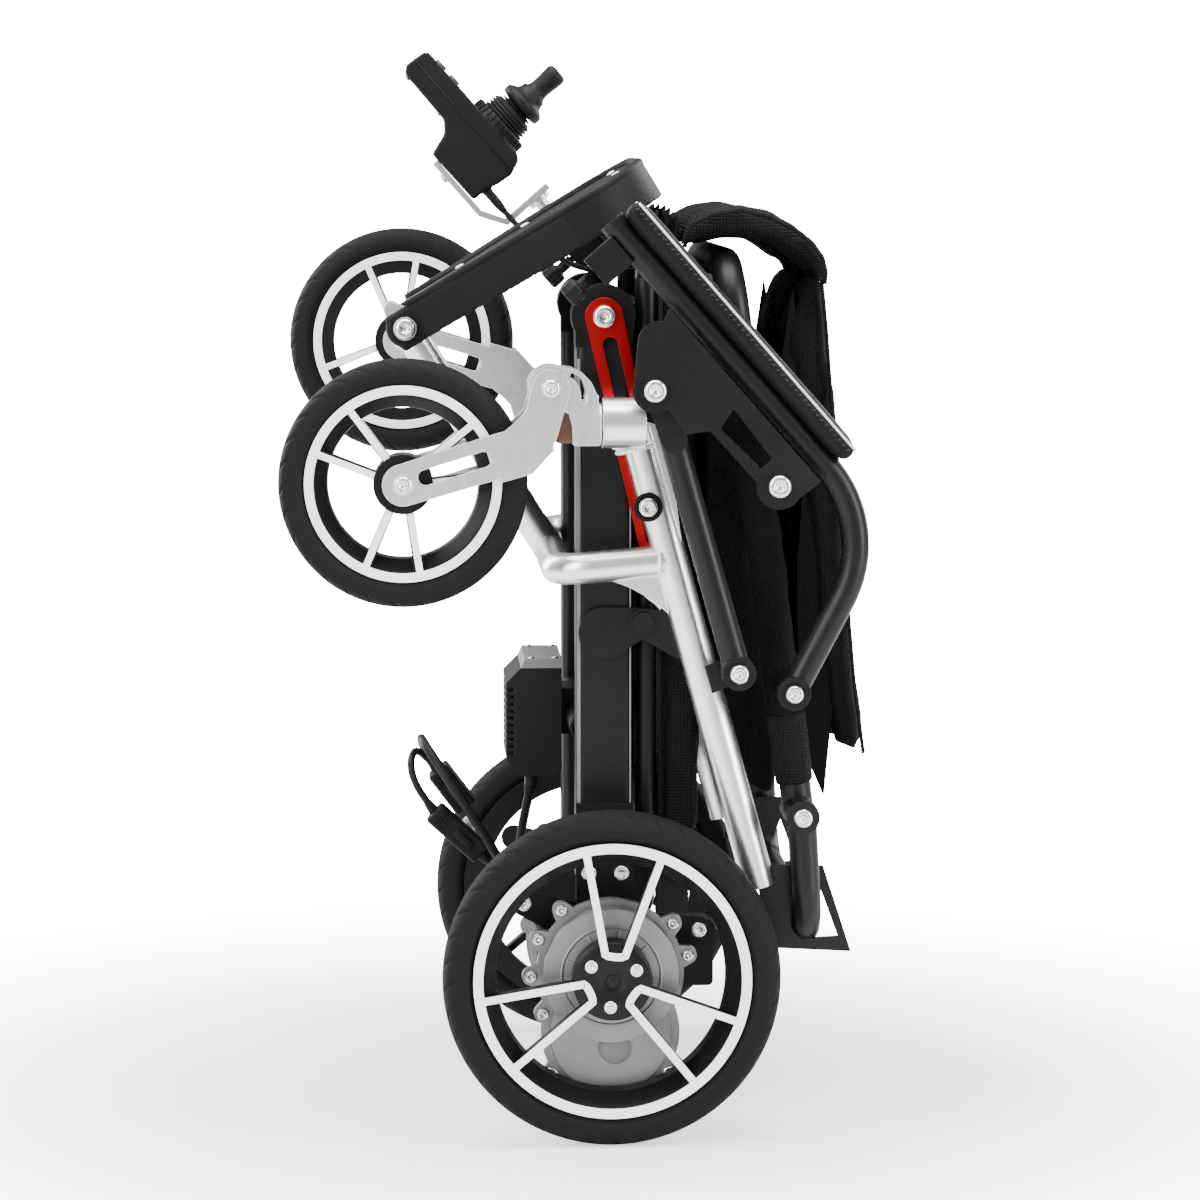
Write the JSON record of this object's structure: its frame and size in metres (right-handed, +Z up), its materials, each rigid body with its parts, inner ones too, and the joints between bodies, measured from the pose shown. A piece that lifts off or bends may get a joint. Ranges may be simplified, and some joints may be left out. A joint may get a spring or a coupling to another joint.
{
  "type": "power wheelchair",
  "caption": "Folding power wheelchair standing folded on its drive wheels, with spoked wheels, twin beams, flat fabric seat and back, flip-up footrest and joystick on one armrest.",
  "frame": {"origin": "on the floor below the middle of the outline, folded and standing on the drive wheels", "axes": "+Z up in the stored stance and the way the open chair drives, +X the open chair's up, +Y its right-hand side"},
  "size_m": [0.5414, 0.5515, 1.0039],
  "materials": {
    "tyre_rubber": "matt",
    "rim_black": "satin",
    "steel": "bright",
    "black_tube": "satin powder coat",
    "black_cap": "satin",
    "battery_case": "matt",
    "grey_casting": "cast",
    "black_steel": "satin",
    "motor_black": "satin",
    "silver_frame": "brushed",
    "silver_plate": "brushed",
    "red_anodised": "anodised",
    "finned_black": "satin",
    "lid_grey": "satin",
    "black_plastic": "satin",
    "black_fabric": "woven",
    "pad_foam": "soft grain",
    "soft_rubber": "matt",
    "cable_jacket": "satin",
    "button_grey": "satin"
  },
  "bodies": {
    "drive_frame": {"side_beam_left": "black_tube", "side_beam_right": "black_tube", "beam_end_caps": "black_cap", "battery_packs": "battery_case", "frame_cross_tubes": "black_tube", "controller_case": "finned_black", "controller_lid": "lid_grey", "gear_housing_left": "grey_casting", "gear_housing_right": "grey_casting", "motors": "motor_black", "motor_plates": "black_steel", "drive_frame_bolts": "steel", "motor_lead": "cable_jacket", "jumper_lead": "cable_jacket", "controller_lead": "cable_jacket", "cable_connectors": "black_plastic"},
    "front_frame": {"front_frame_left": "silver_frame", "front_frame_right": "silver_frame", "u_tube_and_hanger": "silver_frame", "rear_bow": "black_tube", "pivot_lugs": "black_tube", "front_frame_bolts": "steel"},
    "seat": {"seat_frame": "black_tube", "seat_sling": "black_fabric"},
    "fold_link_pair": {"fold_links": "red_anodised"},
    "backrest": {"back_bow": "black_tube", "back_sling": "black_fabric", "back_top_pad": "black_fabric", "back_flap": "black_fabric"},
    "armrests": {"arm_tubes": "black_tube", "arm_pads": "pad_foam", "arm_plates": "black_tube", "joystick_bracket": "silver_frame", "joystick_case": "black_plastic", "joystick_gaiter": "soft_rubber", "joystick_cable": "cable_jacket"},
    "arm_link_pair": {"arm_links": "black_tube"},
    "footplate_body": {"footplate": "black_plastic"},
    "stick_gimbal": {"joystick_gimbal": "black_plastic"},
    "stick": {"joystick_stick": "black_plastic"},
    "button_front": {"joystick_button_1": "button_grey"},
    "button_rear": {"joystick_button_2": "button_grey"},
    "drive_wheel_left": {"drive_tyre_left": "tyre_rubber", "drive_rim_left": "rim_black", "drive_shaft_left": "steel"},
    "brake_lever_left_body": {"brake_lever_left": "black_steel"},
    "caster_fork_left": {"caster_bracket_left": "silver_plate"},
    "caster_swing_left": {"caster_arm_left": "silver_plate"},
    "caster_wheel_left": {"caster_tyre_left": "tyre_rubber", "caster_rim_left": "rim_black"},
    "knob_left": {"thumb_knob_left": "black_plastic"},
    "drive_wheel_right": {"drive_tyre_right": "tyre_rubber", "drive_rim_right": "rim_black", "drive_shaft_right": "steel"},
    "brake_lever_right_body": {"brake_lever_right": "black_steel"},
    "caster_fork_right": {"caster_bracket_right": "silver_plate"},
    "caster_swing_right": {"caster_arm_right": "silver_plate"},
    "caster_wheel_right": {"caster_tyre_right": "tyre_rubber", "caster_rim_right": "rim_black"},
    "knob_right": {"thumb_knob_right": "black_plastic"}
  },
  "joints": [
    {"name": "fold", "type": "hinge", "parent": "drive_frame", "child": "front_frame", "pos_m": [0.06275, 0, 0.47374], "axis": [0, -1, 0], "range_deg": [0, 28]},
    {"name": "seat_tilt", "type": "hinge", "parent": "drive_frame", "child": "seat", "pos_m": [0.02675, 0, 0.755], "axis": [0, -1, 0], "range_deg": [0, 28.5]},
    {"name": "fold_link_swing", "type": "hinge", "parent": "drive_frame", "child": "fold_link_pair", "pos_m": [0.02675, 0, 0.755], "axis": [0, 1, 0], "range_deg": [0, 17.05]},
    {"name": "back_rise", "type": "hinge", "parent": "front_frame", "child": "backrest", "pos_m": [0.20695, 0, 0.2978], "axis": [0, 1, 0], "range_deg": [0, 105.5]},
    {"name": "armrest_swing", "type": "hinge", "parent": "backrest", "child": "armrests", "pos_m": [0.19645, 0, 0.4152], "axis": [0, -1, 0], "range_deg": [0, 71.2]},
    {"name": "arm_link_swing", "type": "hinge", "parent": "front_frame", "child": "arm_link_pair", "pos_m": [0.14615, 0, 0.4338], "axis": [0, 1, 0], "range_deg": [0, 74.9]},
    {"name": "footplate_flip", "type": "hinge", "parent": "front_frame", "child": "footplate_body", "pos_m": [-0.15495, 0, 0.7395], "axis": [0, -1, 0], "range_deg": [0, 59]},
    {"name": "drive_wheel_spin_left", "type": "hinge", "parent": "drive_frame", "child": "drive_wheel_left", "pos_m": [0.03075, -0.2525, 0.1537], "axis": [0, 1, 0], "continuous": true},
    {"name": "brake_release_left", "type": "hinge", "parent": "drive_frame", "child": "brake_lever_left_body", "pos_m": [0.11275, -0.14, 0.178], "axis": [0, 1, 0], "range_deg": [0, 35]},
    {"name": "caster_swivel_left", "type": "hinge", "parent": "front_frame", "child": "caster_fork_left", "pos_m": [0.03075, -0.237, 0.661], "axis": [1, 0, 0], "continuous": true},
    {"name": "caster_spring_left", "type": "hinge", "parent": "caster_fork_left", "child": "caster_swing_left", "pos_m": [-0.02455, -0.237, 0.6936], "axis": [0, -1, 0], "range_deg": [0, 4], "stiffness_Nm_per_rad": 600},
    {"name": "caster_spin_left", "type": "hinge", "parent": "caster_swing_left", "child": "caster_wheel_left", "pos_m": [-0.15775, -0.237, 0.607], "axis": [0, 1, 0], "continuous": true},
    {"name": "clamp_knob_left", "type": "hinge", "parent": "armrests", "child": "knob_left", "pos_m": [0.00969, -0.245, 0.79122], "axis": [0.7513, 0, 0.66], "continuous": true},
    {"name": "drive_wheel_spin_right", "type": "hinge", "parent": "drive_frame", "child": "drive_wheel_right", "pos_m": [0.03075, 0.2525, 0.1537], "axis": [0, 1, 0], "continuous": true},
    {"name": "brake_release_right", "type": "hinge", "parent": "drive_frame", "child": "brake_lever_right_body", "pos_m": [0.11275, 0.14, 0.178], "axis": [0, 1, 0], "range_deg": [0, 35]},
    {"name": "caster_swivel_right", "type": "hinge", "parent": "front_frame", "child": "caster_fork_right", "pos_m": [0.03075, 0.237, 0.661], "axis": [1, 0, 0], "continuous": true},
    {"name": "caster_spring_right", "type": "hinge", "parent": "caster_fork_right", "child": "caster_swing_right", "pos_m": [-0.02455, 0.237, 0.6284], "axis": [0, 1, 0], "range_deg": [0, 4], "stiffness_Nm_per_rad": 600},
    {"name": "caster_spin_right", "type": "hinge", "parent": "caster_swing_right", "child": "caster_wheel_right", "pos_m": [-0.15775, 0.237, 0.715], "axis": [0, 1, 0], "continuous": true},
    {"name": "clamp_knob_right", "type": "hinge", "parent": "armrests", "child": "knob_right", "pos_m": [0.00969, 0.245, 0.79122], "axis": [0.7513, 0, 0.66], "continuous": true},
    {"name": "stick_fore_aft", "type": "hinge", "parent": "armrests", "child": "stick_gimbal", "pos_m": [-0.07462, 0.245, 0.91748], "axis": [0, 1, 0], "range_deg": [-12, 12], "stiffness_Nm_per_rad": 0.6},
    {"name": "stick_side", "type": "hinge", "parent": "stick_gimbal", "child": "stick", "pos_m": [-0.07462, 0.245, 0.91748], "axis": [0.66, 0, -0.7513], "range_deg": [-12, 12], "stiffness_Nm_per_rad": 0.6},
    {"name": "button_press_front", "type": "slide", "parent": "armrests", "child": "button_front", "axis": [-0.7513, 0, -0.66], "range_m": [0, 0.0025], "stiffness_N_per_m": 300},
    {"name": "button_press_rear", "type": "slide", "parent": "armrests", "child": "button_rear", "axis": [-0.7513, 0, -0.66], "range_m": [0, 0.0025], "stiffness_N_per_m": 300}
  ],
  "couplings": [
    {"joint": "seat_tilt", "follows": "fold", "ratio": 1},
    {"joint": "fold_link_swing", "follows": "fold", "ratio": 0.591},
    {"joint": "back_rise", "follows": "fold", "ratio": 3.75},
    {"joint": "armrest_swing", "follows": "fold", "ratio": 2.525},
    {"joint": "arm_link_swing", "follows": "fold", "ratio": 2.657}
  ]
}
